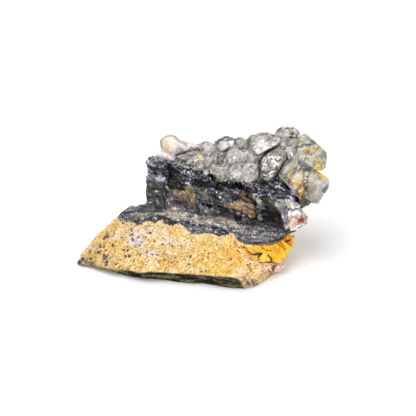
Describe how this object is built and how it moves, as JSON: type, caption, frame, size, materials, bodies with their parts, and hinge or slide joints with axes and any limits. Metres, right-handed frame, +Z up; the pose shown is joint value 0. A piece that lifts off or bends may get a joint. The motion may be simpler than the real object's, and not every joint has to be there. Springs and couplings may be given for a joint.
{
  "type": "galena specimen",
  "caption": "Hand specimen: a dark metallic wall of galena on a slab of ochre sandstone, topped by grey glassy crystals, that rests on its flat underside.",
  "frame": {"origin": "middle of the specimen's bounding box in plan, on the surface that it rests on", "axes": "+X to the right along the front of the galena wall, the longest way; +Y to the back, away from the sloping sandstone face; +Z up"},
  "size_m": [0.087, 0.0492, 0.0471],
  "materials": {
    "sandstone": "matte",
    "ochre": "matte",
    "galena": "satin",
    "white_calcite": "satin",
    "grey_crystal": "gloss",
    "clear_crystal": "gloss",
    "milky_crystal": "satin",
    "streaked_crystal": "gloss",
    "red_stained_crystal": "gloss",
    "pale_crystal": "satin",
    "pink_crystal": "satin"
  },
  "bodies": {
    "root": {"sandstone_matrix": "sandstone", "ochre_crust": "ochre", "galena_mass": "galena", "white_calcite_knob": "white_calcite", "crystal_druse": "grey_crystal", "clear_crystal": "clear_crystal", "right_top_crystal": "grey_crystal", "back_top_crystal": "grey_crystal", "milky_crystal": "milky_crystal", "streaked_crystal": "streaked_crystal", "red_stained_crystal": "red_stained_crystal", "pale_wall_crystal": "pale_crystal", "pink_crystal": "pink_crystal"}
  },
  "joints": []
}
